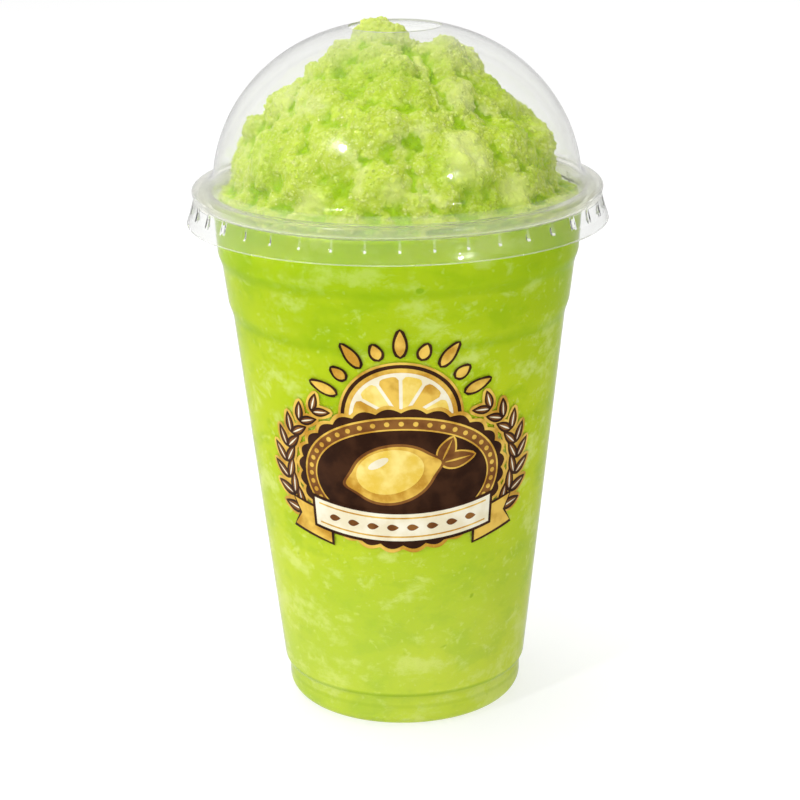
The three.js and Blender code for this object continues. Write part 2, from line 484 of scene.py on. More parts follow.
hole_angle = math.acos((STRAW_HOLE / DOME_ACROSS) ** (1 / DOME_FULLNESS))
foot_angle = math.asin(((DOME_FOOT - DOME_CENTRE[1]) / DOME_UP) ** (1 / DOME_FULLNESS))
dome = [
    (
        DOME_ACROSS * math.cos(angle) ** DOME_FULLNESS,
        DOME_CENTRE[1] + DOME_UP * math.sin(angle) ** DOME_FULLNESS,
    )
    for angle in np.linspace(hole_angle, foot_angle, DOME_STEPS + 1)
]
lid_corners = [
    *[(*point, 0) for point in dome],
    (47.0, 134.6, 1.0),
    (49.7, 133.9, 0.7),
    (50.6, 133.0, 0.5),
    (50.2, 131.0, 0.6),
    (50.5, 129.6, 0.6),
    (50.86, DENT_DEEPEST, 0),
    (51.02, DENT_BOTTOM + 0.1, 0),
    (51.1, 127.3, 0.3),
    (SKIRT_EDGE[0] - 0.06, SKIRT_LIP, 0),
    (*SKIRT_EDGE, 0),
]
lid_profile = spaced(rounded(lid_corners), 2.0)
lid = turn_on_lathe("lid_sheet", lid_profile, AROUND_LID)
report(lid)

# %% [markdown]
# Forty short dents are pressed into the skirt just under the ring. They grip the cup's
# rim from below. Each is a narrow upright crease that is deepest near its lower end, and
# there a milky plastic paints a bright dot, a painted highlight. The points of one column in
# each dent are moved towards the axis, and the faces beside them get a hazier plastic.

# %% Press the snap dents
def steps_from_dent(x, y):
    """How many columns of points lie between a place and the nearest dent."""
    column = round(math.atan2(y, x) / (math.tau / AROUND_LID))
    return (column + DENT_PITCH // 2) % DENT_PITCH - DENT_PITCH // 2


def press_dents(piece):
    """Moves the middle of each dent inwards. The depth fades up to the ring and down."""
    for point in piece.data.vertices:
        if steps_from_dent(point.co.x, point.co.y) != 0:
            continue
        height = point.co.z / MM
        fade = np.interp(height, (DENT_BOTTOM, DENT_DEEPEST, DENT_TOP), (0, 1, 0))
        radius = math.hypot(point.co.x, point.co.y)
        inwards = (radius - DENT_DEPTH * float(fade) * MM) / radius
        point.co.x *= inwards
        point.co.y *= inwards


DOME, RING, SKIRT, EDGE_HIGHLIGHT, CREASE, LIP = range(6)
lid_finishes = {
    DOME: lid_plastic,
    RING: ring_plastic,
    SKIRT: skirt_plastic,
    EDGE_HIGHLIGHT: edge_highlight_plastic,
    CREASE: crease_plastic,
    LIP: lip_highlight_plastic,
}


def lid_finish(face):
    """The finish of one face of the lid, by its height and by the dent beside it."""
    height = face_height(face)
    if height >= RING_TOP:
        return DOME
    if height >= RING_FOOT:
        return RING
    if height < SKIRT_LIP:
        return LIP
    columns = [steps_from_dent(*lid.data.vertices[corner].co.xy) for corner in face.vertices]
    if height <= DENT_BOTTOM or min(columns) != 0 or max(columns) != 1:
        return SKIRT
    # The foot of each dent gets the milky plastic as a painted highlight dot.
    return EDGE_HIGHLIGHT if height < DENT_DEEPEST else CREASE


press_dents(lid)
for finish in lid_finishes.values():
    lid.data.materials.append(finish)
for face in lid.data.polygons:
    face.material_index = lid_finish(face)
sheet = lid.modifiers.new("sheet", "SOLIDIFY")
sheet.thickness = LID_WALL * MM
sheet.offset = -1
sheet.material_offset_rim = EDGE_HIGHLIGHT
apply_modifiers(lid)
bpy.ops.object.shade_smooth_by_angle(angle=SMOOTH_BELOW)
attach(lid, "root")
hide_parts("dome_lid")
report(lid)

# %% [markdown]
# The slush below the rim is pressed flat against the wall, so that part is turned too. It
# is made to reach a little way into the plastic, so that no film of air shows between
# them. Its own look comes from its material.

# %% Turn the slush in the cup
INTO_WALL = 0.15
FILL_TOP = 130.0

inset = CUP_WALL - INTO_WALL
fill_corners = [
    (0, FLOOR_RISE + inset, 0),
    (FOOT_INNER - FLOOR_RISE / 2 + 0.62 * inset, FLOOR_RISE + inset, 0.8),
    (FOOT_INNER + 0.62 * inset, inset, 0.3),
    (FOOT_OUTER - 0.2 * inset, inset, 0.2),
    *heel(inset),
    *[(radius - inset, height, rounding) for radius, height, rounding in WALL_CORNERS],
    (NECK[0] - inset, NECK[1], 0.5),
    (44.0, FILL_TOP, 0.5),
    (30.0, FILL_TOP, 0),
    (0, FILL_TOP, 0),
]
fill = turn_on_lathe("slush_in_cup", spaced(rounded(fill_corners), 3.0), AROUND)
bpy.ops.object.shade_smooth_by_angle(angle=SMOOTH_BELOW)
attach(fill, "root")
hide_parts("slush")
report(fill)

# %% [markdown]
# The heap is spooned slush. It has the same large lumps as the solid it replaces: a smooth
# heap, turned on the lathe, whose surface is pushed out by lumps, the big ones listed one by
# one and the small ones along a spiral with a repeatable random draw. Clefts between the
# lumps are cut in along short lines. A place on the heap is given as an azimuth, 0 at the
# front and 90 at the right, and a share of its height.

# %% Shape the heap
HEAP_RADIUS = 39.4
HEAP_FOOT = 133.0
HEAP_SEAT = 1.6
HEAP_HEIGHT = 35.6
HEAP_FULLNESS = 1.6
HEAP_ROUNDNESS = 0.62
HEAP_HEART = np.array((0.0, 0.0, 127.0))
HOLLOW = (6.0, 3.0)
HOLLOW_REACH = 7.5
# Shares of the hollow's reach: its flat floor and the slope round it.
HOLLOW_FLAT = 0.55
HOLLOW_SLOPE = 0.45
HOLLOW_DEPTH = 5.5
# The small lumps lie along a spiral. A pair is a least value and how far it may rise.
LUMP_COUNT = 60
LUMP_SEED = 352
LUMP_SHARES = (0.06, 0.9)
LUMP_CROWDING = 1.15
LUMP_STRAY = 16
LUMP_REACH = (3.5, 3.5)
LUMP_PROUD = (0.4, 1.4)
GOLDEN_ANGLE = 137.508
RANDOM_STEP = 16807
RANDOM_RANGE = 2147483647


def heap_radius(share):
    """Radius of the smooth heap in mm at a share of its height, 0 at the foot, 1 at the top."""
    return HEAP_RADIUS * (1 - share**HEAP_FULLNESS) ** HEAP_ROUNDNESS


def on_heap(azimuth_degrees, share):
    """A point in mm on the smooth heap, at an azimuth and a share of its height."""
    azimuth = math.radians(azimuth_degrees)
    radius = heap_radius(share)
    return (
        radius * math.sin(azimuth),
        -radius * math.cos(azimuth),
        HEAP_FOOT + HEAP_HEIGHT * share,
    )


def random_source(seed):
    """A small repeatable random number source."""
    state = seed
    while True:
        state = (state * RANDOM_STEP) % RANDOM_RANGE
        yield state / RANDOM_RANGE


# Lumps that make the peak: centre, reach and height.
TOP_LUMPS = (
    ((-4.2, 0, 167.6), 8.4, 6.2),
    ((-0.4, -1.5, 167.8), 6.4, 5.3),
    ((11.8, -4.5, 164.0), 7.6, 4.8),
)
# Lumps on the heap: azimuth, share of its height, reach and height.
PLACED_LUMPS = (
    (-72, 0.89, 7.5, 4.2), (-19, 0.9, 7, 2.4), (38, 0.71, 6, 3.6), (104, 0.8, 6.5, 3.2),
    (74, 0.6, 5.5, 1.6), (-80, 0.59, 7, 2.6), (-90, 0.42, 5.5, 3.8), (-43, 0.68, 6.5, 2.4),
    (-7, 0.52, 8, 3.6), (15, 0.56, 6, 2.6), (-56, 0.32, 9.5, 3.2), (-36, 0.25, 7, 2.6),
    (26, 0.32, 10, 3.8), (18, 0.14, 8, 2.8), (53, 0.37, 8, 3.2), (76, 0.36, 6.5, 3.6),
    (-6, 0.21, 7.5, 3), (4, 0.09, 6.5, 2.6), (52, 0.14, 7, 2.4), (-26, 0.41, 7.5, 2.8),
    (7, 0.74, 7, 2.8), (-92, 0.17, 9, 2.4), (-94, 0.27, 7, 2.2), (66, 0.86, 6, 2.6),
)
# Lumps round the foot: azimuth, reach and height.
FOOT_LUMPS = (
    (-66, 5.5, 2.2), (-50, 6.0, 2.6), (-34, 5.0, 2.0), (-17, 6.5, 2.8), (0, 5.5, 2.4),
    (14, 6.0, 2.8), (30, 5.0, 2.0), (46, 6.5, 2.8), (64, 5.0, 2.2),
)
FOOT_RADIUS = 41.0
FOOT_LEVEL = 132.4
# Hollows in the heap: azimuth, share of its height, reach and depth.
DENTS = (
    (100, 0.68, 9, 3.2), (-100, 0.52, 8, 1.6), (-98, 0.72, 6.5, 1.6),
)
BACK_TURN = 173
FRONT_REACH = 60


def heap_lumps():
    """Each lump's centre, reach and height, in mm. The front ones come again at the back."""
    lumps = list(TOP_LUMPS)
    for azimuth, share, reach, proud in PLACED_LUMPS:
        lumps.append((on_heap(azimuth, share), reach, proud))
        if abs(azimuth) < FRONT_REACH and share < 0.8:
            lumps.append((on_heap(azimuth + BACK_TURN, share), reach, proud))
    for azimuth, reach, proud in FOOT_LUMPS:
        for turn in (azimuth, azimuth + 180):
            angle = math.radians(turn)
            centre = (FOOT_RADIUS * math.sin(angle), -FOOT_RADIUS * math.cos(angle), FOOT_LEVEL)
            lumps.append((centre, reach, proud))
    random = random_source(LUMP_SEED)
    for i in range(LUMP_COUNT):
        share = LUMP_SHARES[0] + LUMP_SHARES[1] * ((i + 0.5) / LUMP_COUNT) ** LUMP_CROWDING
        centre = on_heap(i * GOLDEN_ANGLE + LUMP_STRAY * next(random), share)
        reach = LUMP_REACH[0] + LUMP_REACH[1] * next(random)
        proud = LUMP_PROUD[0] + LUMP_PROUD[1] * next(random)
        lumps.append((centre, reach, proud))
    return lumps


def lump_heights(points, lumps):
    """How far the lumps push each point of the smooth heap out, in mm."""
    highest = np.zeros(len(points))
    for centre, reach, proud in lumps:
        share = np.linalg.norm(points - np.array(centre), axis=1) / reach
        highest = np.maximum(highest, np.where(share < 1, proud * (1 - share**2), 0))
    for azimuth, share_up, reach, depth in DENTS:
        share = np.linalg.norm(points - np.array(on_heap(azimuth, share_up)), axis=1) / reach
        highest -= np.where(share < 1, depth * (1 - share**2) ** 2, 0)
    across = np.hypot(points[:, 0] - HOLLOW[0], points[:, 1] - HOLLOW[1]) / HOLLOW_REACH
    t = np.clip((across - HOLLOW_FLAT) / HOLLOW_SLOPE, 0, 1)
    t = t * t * (3 - 2 * t)
    return -HOLLOW_DEPTH + (highest + HOLLOW_DEPTH) * t


# Clefts: azimuth and share of both ends, width and depth.
CLEFTS = (
    (36, 0.91, 32, 0.80, 1.18, 3.6), (-58, 0.83, -40, 0.81, 0.93, 2.2),
    (-6, 0.40, 0, 0.44, 0.9, 1.4), (5, 0.47, 11, 0.43, 0.8, 1.4), (-1, 0.52, 1, 0.46, 0.8, 1.4),
    (20, 0.94, 24, 0.82, 1.3, 2.6), (30, 0.56, 33, 0.50, 0.99, 2.6),
    (48, 0.64, 50, 0.57, 0.99, 2.4), (5, 0.28, 5, 0.20, 0.87, 2.4),
    (-5, 0.11, 1, 0.06, 1.8, 1.2), (-44, 0.52, -40, 0.40, 0.81, 2.0),
    (-65, 0.09, -51, 0.07, 0.93, 2.2), (24, 0.15, 22, 0.06, 0.87, 2.0),
    (165, 0.50, 178, 0.42, 1.05, 3.0), (120, 0.66, 128, 0.56, 0.99, 2.6),
    (-140, 0.30, -128, 0.22, 0.99, 2.8), (-110, 0.74, -122, 0.64, 0.99, 2.6),
    (104, 0.26, 110, 0.14, 0.93, 2.4),
)


def cleft_depths(points):
    """How deep the clefts between the lumps cut into each point, in mm."""
    deepest = np.zeros(len(points))
    for first_azimuth, first_share, last_azimuth, last_share, width, depth in CLEFTS:
        start = np.array(on_heap(first_azimuth, first_share))
        run = np.array(on_heap(last_azimuth, last_share)) - start
        along = np.clip((points - start) @ run / (run @ run), 0, 1)
        apart = np.linalg.norm(points - start - along[:, None] * run, axis=1)
        deepest = np.maximum(deepest, depth * np.exp(-((apart / width) ** 2)))
    return deepest


# The heap's underside and foot: radius and height.
HEAP_BASE = ((0, 126), (30, 126), (44.2, 127.5), (44.6, 129.2), (43.4, 131), (42.2, 132))
HEAP_ROWS = 60

heap_profile = list(HEAP_BASE)
for row in range(HEAP_ROWS + 1):
    share = math.sin(row / HEAP_ROWS * math.pi / 2)
    heap_profile.append((heap_radius(min(share, 1)), HEAP_FOOT + HEAP_HEIGHT * share))
heap_profile[-1] = (0, HEAP_FOOT + HEAP_HEIGHT)
heap = turn_on_lathe("slush_heap", spaced(heap_profile, 1.2), AROUND)

places = point_places(heap)
above = places[:, 2] > HEAP_FOOT - HEAP_SEAT
outwards = places[above] - HEAP_HEART
outwards /= np.linalg.norm(outwards, axis=1)[:, None]
push = lump_heights(places[above], heap_lumps()) - cleft_depths(places[above])
places[above] += outwards * push[:, None]
heap.data.vertices.foreach_set("co", (places * MM).ravel())
heap.data.update()
report(heap)

# %% [markdown]
# Crushed ice clumps into rounded clods of every size. Displace modifiers with a Voronoi
# texture make them, the large ones first, and one with a cloud texture sways the surface
# so that they don't look alike. Displacement pushes steep places through each other, so
# in between a voxel Remesh rebuilds the surface as one skin and a light Smooth takes off
# its stairs.

# %% Roughen the heap
COARSE_VOXEL = 0.55
VOXEL = 0.465
HEAP_CUT = 127.6


def even_out(piece, size):
    """Rebuilds the surface as one skin of even faces, without folds. Size is in mm."""
    remesh = piece.modifiers.new("even_faces", "REMESH")
    remesh.mode = "VOXEL"
    remesh.voxel_size = size * MM
    ease = piece.modifiers.new("ease", "SMOOTH")
    ease.factor = 0.5
    ease.iterations = 2


def displace(piece, name, kind, size, relief, middle=0.5):
    """Moves the surface in and out by a pattern, and returns it. Size and relief are in mm."""
    pattern = bpy.data.textures.new(name, kind)
    pattern.noise_scale = size * MM
    modifier = piece.modifiers.new(name, "DISPLACE")
    modifier.texture = pattern
    modifier.texture_coords = "LOCAL"
    modifier.strength = relief * MM
    modifier.mid_level = middle
    return pattern


def add_clods(piece, size, relief, middle=0.5):
    """Swells the heap into rounded clods with creases between."""
    displace(piece, "clods_" + str(size).replace(".", "_"), "VORONOI", size, -relief, middle)


def add_sway(piece, size, relief):
    """Sways the surface by a soft cloud pattern."""
    displace(piece, "sway", "CLOUDS", size, relief).noise_depth = 2


add_clods(heap, 6.5, 2.5, 0.45)
even_out(heap, COARSE_VOXEL)
add_clods(heap, 3.6, 1.1, 0.47)
add_sway(heap, 2.8, 1.2)
add_clods(heap, 2.1, 0.8)
even_out(heap, VOXEL)
add_clods(heap, 1.15, 0.55)
apply_modifiers(heap)
take_up(heap)
bpy.ops.object.mode_set(mode="EDIT")
bpy.ops.mesh.select_all(action="SELECT")
bpy.ops.mesh.bisect(
    plane_co=(0, 0, HEAP_CUT * MM), plane_no=(0, 0, 1), use_fill=True, clear_inner=True
)
bpy.ops.object.mode_set(mode="OBJECT")
bpy.ops.object.shade_smooth()
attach(heap, "root")
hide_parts("slush")
report(heap)

# %% [markdown]
# The heap's colour follows its relief. It is pale on its fine crests and deep green in its
# creases, partly for drink in the gaps and partly as painted shade. Noise alone can't know
# where the gaps are, so they are measured: the surface is smoothed, and how far each point
# lies below the smooth one tells how deep in a crease it is. The materials and the grains
# both follow that number.

# %% Measure the creases of the heap
def crease_depths(piece, rounds):
    """How far each point lies below the smoothed surface round it, in mm."""
    mesh = piece.data
    places = point_places(piece)
    count = len(places)
    normals = np.empty(count * 3)
    mesh.vertices.foreach_get("normal", normals)
    edges = np.empty(len(mesh.edges) * 2, int)
    mesh.edges.foreach_get("vertices", edges)
    ends = np.concatenate((edges[0::2], edges[1::2]))
    others = np.concatenate((edges[1::2], edges[0::2]))
    neighbours = np.bincount(ends, minlength=count)
    smooth = places.copy()
    for _ in range(rounds):
        for axis in range(3):
            total = np.bincount(ends, smooth[others, axis], minlength=count)
            smooth[:, axis] = total / neighbours
    return ((smooth - places) * normals.reshape(-1, 3)).sum(1)


FINE_ROUNDS = 6
BROAD_ROUNDS = 60
FINE_REACH = 0.25
BROAD_REACH = 1.1

fine = crease_depths(heap, FINE_ROUNDS)
broad = crease_depths(heap, BROAD_ROUNDS)
for name, depth in (("fine", fine), ("broad", broad)):
    print(name, "creases in mm:", np.percentile(depth, (5, 50, 95)).round(2))

# %% [markdown]
# Loose ice grains lie all over the heap, thick in some places and nearly washed away where
# the drink wets the surface. They are far too many to place one by one. Geometry Nodes
# drops points on a copy of the heap by a seeded draw, puts a small many-sided crystal on
# each and makes them real mesh. A number stored on the heap's points says how thick they
# lie, and every axis of a crystal is stretched on its own, so that no two look alike.
# Frost, the finest and palest kind, lies thin all over and thick on a few icy patches. Its
# pale colour is partly a painted sparkle.

# %% Mark where the grains lie
# Patches on the heap: azimuth, share of its height and reach.
WET_PATCHES = (
    (26, 0.32, 9.0), (-56, 0.30, 5.5), (44, 0.10, 6.5), (34, 0.78, 3.5), (-2, 0.18, 5.0),
    (-30, 0.06, 6.0), (150, 0.35, 8.0), (-120, 0.45, 7.0), (110, 0.12, 7.0), (-160, 0.14, 7.0),
)
ICY_PATCHES = (
    (10, 0.375, 4.5), (-3, 0.27, 4.0), (24, 0.50, 3.2), (6, 0.75, 4.0), (-38, 0.12, 4.5),
    (-50, 0.55, 4.5), (40, 0.62, 3.5), (190, 0.40, 5.0), (150, 0.60, 4.5), (-130, 0.25, 5.0),
    (110, 0.50, 4.0),
)
FROST_THIN = 0.25
WET_SHARE = 0.9
CREASE_BARE = 0.35
CREASE_FROM = 0.1
CREASE_SPAN = 0.8
PATCH_EDGE = 1.6
LEDGE_LOW = 131.0
LEDGE_HIGH = 133.0
LEDGE_BARE = 0.12
LEDGE_SHADE = 0.3


def within(points, azimuth, share, reach):
    """1 round a place on the heap, falling to 0 at the reach, for each point."""
    apart = np.linalg.norm(points - np.array(on_heap(azimuth, share)), axis=1) / reach
    return np.clip(PATCH_EDGE - PATCH_EDGE * apart, 0, 1)


def store(piece, name, values):
    """Keeps one number for each point of a piece."""
    attribute = piece.data.attributes.new(name, "FLOAT", "POINT")
    attribute.data.foreach_set("value", values)


places = point_places(heap)
dry = np.ones(len(places))
for patch in WET_PATCHES:
    dry *= 1 - WET_SHARE * within(places, *patch)
icy = np.zeros(len(places))
for patch in ICY_PATCHES:
    icy = np.maximum(icy, within(places, *patch))
above_ledge = np.clip((places[:, 2] - LEDGE_LOW) / (LEDGE_HIGH - LEDGE_LOW), LEDGE_BARE, 1)
in_crease = np.clip((broad / BROAD_REACH - CREASE_FROM) / CREASE_SPAN, 0, 1)
store(heap, "cover", dry * above_ledge * (1 - CREASE_BARE * in_crease))
store(heap, "frost", (FROST_THIN * dry + icy) * above_ledge)
store(heap, "wet", 1 - dry)
store(heap, "grain", np.clip(0.5 + fine / (2 * FINE_REACH), 0, 1))
# Painted shade: the crease number is raised on the ledge under the ring, and wet patches lose
# their crease shade.
shade = 0.5 + dry * broad / (2 * BROAD_REACH) + LEDGE_SHADE * (1 - above_ledge)
store(heap, "crease", np.clip(shade, 0, 1))

# %% Scatter the ice grains
SINK_SHARE = 0.38
# Each kind's name, the number that spreads it, grains to the square mm, sizes and seed.
GRAINS = (
    ("ice_grains_coarse", "cover", 0.34, 0.40, 0.85, 11),
    ("ice_grains_fine", "cover", 0.62, 0.24, 0.50, 23),
    ("frost_grains", "frost", 0.5, 0.18, 0.36, 37),
)


def scatter_crystals(source, name, spread_by, per_square_mm, smallest, largest, seed):
    """Angular crystals over a piece, as one mesh. Sizes are half widths in mm."""
    take_up(source)
    bpy.ops.object.duplicate()
    crystals = bpy.context.object
    crystals.name = name
    tree = bpy.data.node_groups.new(name, "GeometryNodeTree")
    for way in ("INPUT", "OUTPUT"):
        tree.interface.new_socket("Geometry", in_out=way, socket_type="NodeSocketGeometry")
    surface = add_node(tree, "NodeGroupInput")
    result = add_node(tree, "NodeGroupOutput")
    thickness = add_node(
        tree, "GeometryNodeInputNamedAttribute", {"Name": spread_by}, data_type="FLOAT"
    )
    rates = {0: thickness.outputs["Attribute"], 1: per_square_mm / MM**2}
    density = add_node(tree, "ShaderNodeMath", rates, operation="MULTIPLY")
    scatter = add_node(tree, "GeometryNodeDistributePointsOnFaces", {"Seed": seed})
    round_ball = {"Radius": 1.0, "Subdivisions": 1}
    crystal = add_node(tree, "GeometryNodeMeshIcoSphere", round_ball)
    turns = {"Max": (math.tau, math.tau, math.tau), "Seed": seed + 1}
    turn = add_node(tree, "FunctionNodeRandomValue", turns, data_type="FLOAT_VECTOR")
    sizes = {"Min": (smallest * MM,) * 3, "Max": (largest * MM,) * 3, "Seed": seed + 2}
    size = add_node(tree, "FunctionNodeRandomValue", sizes, data_type="FLOAT_VECTOR")
    sunk = {"Scale": -SINK_SHARE * largest * MM}
    sink = add_node(tree, "ShaderNodeVectorMath", sunk, operation="SCALE")
    settle = add_node(tree, "GeometryNodeSetPosition")
    spread = add_node(tree, "GeometryNodeInstanceOnPoints")
    realize = add_node(tree, "GeometryNodeRealizeInstances")
    for node, output, target, socket in (
        (surface, "Geometry", scatter, "Mesh"),
        (density, "Value", scatter, "Density"),
        (scatter, "Points", settle, "Geometry"),
        (scatter, "Normal", sink, "Vector"),
        (sink, "Vector", settle, "Offset"),
        (settle, "Geometry", spread, "Points"),
        (crystal, "Mesh", spread, "Instance"),
        (turn, "Value", spread, "Rotation"),
        (size, "Value", spread, "Scale"),
        (spread, "Instances", realize, "Geometry"),
        (realize, "Geometry", result, "Geometry"),
    ):
        feed(tree, target, {socket: node.outputs[output]})
    modifier = crystals.modifiers.new(name, "NODES")
    modifier.node_group = tree
    apply_modifiers(crystals)
    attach(crystals, "root")
    report(crystals)
    return crystals


coarse_grains, fine_grains, frost = [scatter_crystals(heap, *kind) for kind in GRAINS]

# %% [markdown]
# The slush of the heap is wet and translucent, so its shader lets a share of the light in
# a little way under the surface. Large patches are paler or deeper, crests are pale, wet
# patches are pale as a painted sheen, and creases are deep green, partly drink and partly
# painted shade. The finest beads of ice are only a bump.

# %% Mix the slush of the heap
CREST = (0.66, 0.77, 0.18)
HEAP_LIME = (0.53, 0.67, 0.05)
HEAP_DEEP = (0.44, 0.62, 0.015)
HEAP_PALE = (0.73, 0.81, 0.27)
# Painted shade: the deep green of the creases and of the ledge under the ring.
CREASE_SHADE_GREEN = (0.38, 0.60, 0.003)
# Washes: where a value fades another colour in, and up to what share.
PALE_WASH = ((0.53, 0.66), 0.8)
DEEP_WASH = ((0.50, 0.38), 0.75)
WET_SHEEN_WASH = ((0.2, 0.9), 0.65)
PEAK_WASH = ((160.0 * MM, 171.0 * MM), 0.5)
CREST_WASH = ((0.5, 0.1), 0.5)
FLECK_WASH = ((0.56, 0.70), 0.8)
CREASE_SHADE_WASH = ((0.53, 0.80), 1)
# Noises: features to the metre, detail, roughness and distortion.
PATCH_NOISE = (75.0, 4.0, 0.58, 0.5)
FLECK_NOISE = (1300.0, 2.0, 0.6)
BEADS_PER_METRE = 1150.0
BEAD_HEIGHT = 0.2


def read_attribute(tree, name):
    """A number stored on the piece's points."""
    return add_node(tree, "ShaderNodeAttribute", attribute_name=name).outputs["Fac"]


def height_above_table(tree, coordinates):
    """The height of a place, in metres."""
    return add_node(tree, "ShaderNodeSeparateXYZ", {"Vector": coordinates}).outputs["Z"]


def blend(tree, share, colour, over):
    """Mixes another colour into a colour. Each is a tuple or another node's output."""
    inputs = {"Factor": share}
    for name, ink in (("A", colour), ("B", over)):
        inputs[name] = (*ink, 1) if isinstance(ink, tuple) else ink
    return add_node(tree, "ShaderNodeMix", inputs, data_type="RGBA").outputs["Result"]


def wash(tree, colour, value, fade, share, over):
    """Lays another colour over a colour, up to a share, where a value fades it in."""
    return blend(tree, remap(tree, value, *fade, 0, share), colour, over)


def translucent(depth, roughness, share=0.7):
    """A shader's inputs that let a share of the light in, as wet ice does. Depth is in mm."""
    return {
        "Subsurface Weight": share,
        "Subsurface Radius": (1.0, 1.0, 0.2),
        "Subsurface Scale": depth * MM,
        "Roughness": roughness,
        "IOR": 1.33,
    }


def cloud_over(tree, coordinates, colour):
    """The heap's large patches over a colour: pale or deep, pale up high, and a painted sheen
    where wet.
    """
    patches = add_noise(tree, coordinates, *PATCH_NOISE)
    height = height_above_table(tree, coordinates)
    colour = wash(tree, colour, patches, *PALE_WASH, HEAP_PALE)
    colour = wash(tree, colour, patches, *DEEP_WASH, HEAP_DEEP)
    # Painted sheen: the wet patches are washed pale.
    colour = wash(tree, colour, read_attribute(tree, "wet"), *WET_SHEEN_WASH, HEAP_PALE)
    return wash(tree, colour, height, *PEAK_WASH, HEAP_PALE)


def paint_crease_shade(tree, colour):
    """Lays deep green over the heap's creases and ledge: painted shade, and drink in the creases.
    """
    return wash(tree, colour, read_attribute(tree, "crease"), *CREASE_SHADE_WASH, CREASE_SHADE_GREEN)


def heaped_slush():
    """Loose wet slush, pale on its crests and deep green in its creases."""
    material, tree, shader, coordinates = new_material("heaped_slush")
    colour = cloud_over(tree, coordinates, HEAP_LIME)
    colour = wash(tree, colour, read_attribute(tree, "grain"), *CREST_WASH, CREST)
    flecks = add_noise(tree, coordinates, *FLECK_NOISE)
    colour = wash(tree, colour, flecks, *FLECK_WASH, CREST)
    voronoi = {"Vector": coordinates, "Scale": BEADS_PER_METRE, "Smoothness": 0.3}
    beads = add_node(tree, "ShaderNodeTexVoronoi", voronoi, feature="SMOOTH_F1")
    height = remap(tree, beads.outputs["Distance"], 0.0, 0.7, 1, 0, smooth=False)
    look = {
        "Base Color": paint_crease_shade(tree, colour),
        **translucent(2.2, 0.3),
        "Coat Weight": 0.1,
        "Coat Roughness": 0.12,
        "Normal": add_bump(tree, height, BEAD_HEIGHT, 0.5),
    }
    feed(tree, shader, look)
    return material


# %% Mix the ice of the grains
GRAIN_ICE = (0.71, 0.79, 0.26)
# The frost's pale colour is partly ice and partly a painted sparkle.
FROST_ICE_AND_SPARKLE = (0.93, 0.95, 0.50)
SINGLE_NOISE = (900.0, 1.0, 0.5)
SINGLE_FADE = (0.35, 0.68)
# Deeper light would leave a sunken grain on its buried side and darken it.
GRAIN_DEPTH = 0.3
GRAIN_SHARE = 0.25


def grain_ice(name, dull, bright, share):
    """Hard clear grains. Noise finer than a grain gives each its own tone."""
    material, tree, shader, coordinates = new_material(name)
    single = add_noise(tree, coordinates, *SINGLE_NOISE)
    colour = wash(tree, dull, single, SINGLE_FADE, share, bright)
    colour = cloud_over(tree, coordinates, colour)
    look = {
        "Base Color": paint_crease_shade(tree, colour),
        **translucent(GRAIN_DEPTH, 0.32, GRAIN_SHARE),
        "Specular IOR Level": 0.1,
    }
    feed(tree, shader, look)
    return material


heap_ice = grain_ice("heap_ice", HEAP_LIME, GRAIN_ICE, 0.9)
frost_ice_and_sparkle = grain_ice("frost_ice_and_sparkle", GRAIN_ICE, FROST_ICE_AND_SPARKLE, 1.0)

# %% [markdown]
# Against the cup's wall the slush is pressed flat. Soft clouds and wisps of ice lie in the
# drink, with more ice near the base, where it packs. Painted shade darkens the slush in lines
# at the wall's steps, and more towards the top and the neck. A Color Ramp on the height sets
# that painted shade.

# %% Mix the slush in the cup
PRESSED_LIME = (0.45, 0.60, 0.012)
PRESSED_YELLOW = (0.54, 0.66, 0.02)
PRESSED_DEEP = (0.32, 0.51, 0.006)
PRESSED_ICE = (0.68, 0.77, 0.20)
# Deep green for the random pits, and for the painted shade of the steps, the top and the neck.
PRESSED_PITS_AND_SHADE = (0.24, 0.42, 0.005)
ICE_FADE = (75.0 * MM, 12.0 * MM)
FLATTENED = (1.0, 1.0, 1.5)
# Noises: features to the metre, detail, roughness and distortion.
BROAD_NOISE = (26.0, 3.0, 0.5)
CLOUD_NOISE = (60.0, 7.0, 0.66)
WISP_NOISE = (150.0, 6.0, 0.68, 0.4)
ICE_FLECK_NOISE = (520.0, 2.0, 0.5)
PIT_NOISE = (210.0, 1.0, 0.4)
# How much painted shade darkens the slush at each height in mm: dark lines at the wall's
# steps, and more towards the top and the neck.
WALL_SHADES = (
    (0.0, 0.15), (5.2, 0.05), (5.8, 0.3), (6.6, 0.0), (8.6, 0.1), (9.3, 0.75), (10.1, 0.0),
    (66.0, 0.0), (94.0, 0.12), (100.4, 0.18), (102.0, 0.55), (104.4, 0.26), (114.2, 0.3),
    (116.0, 0.62), (118.0, 0.42), (127.0, 0.5),
)


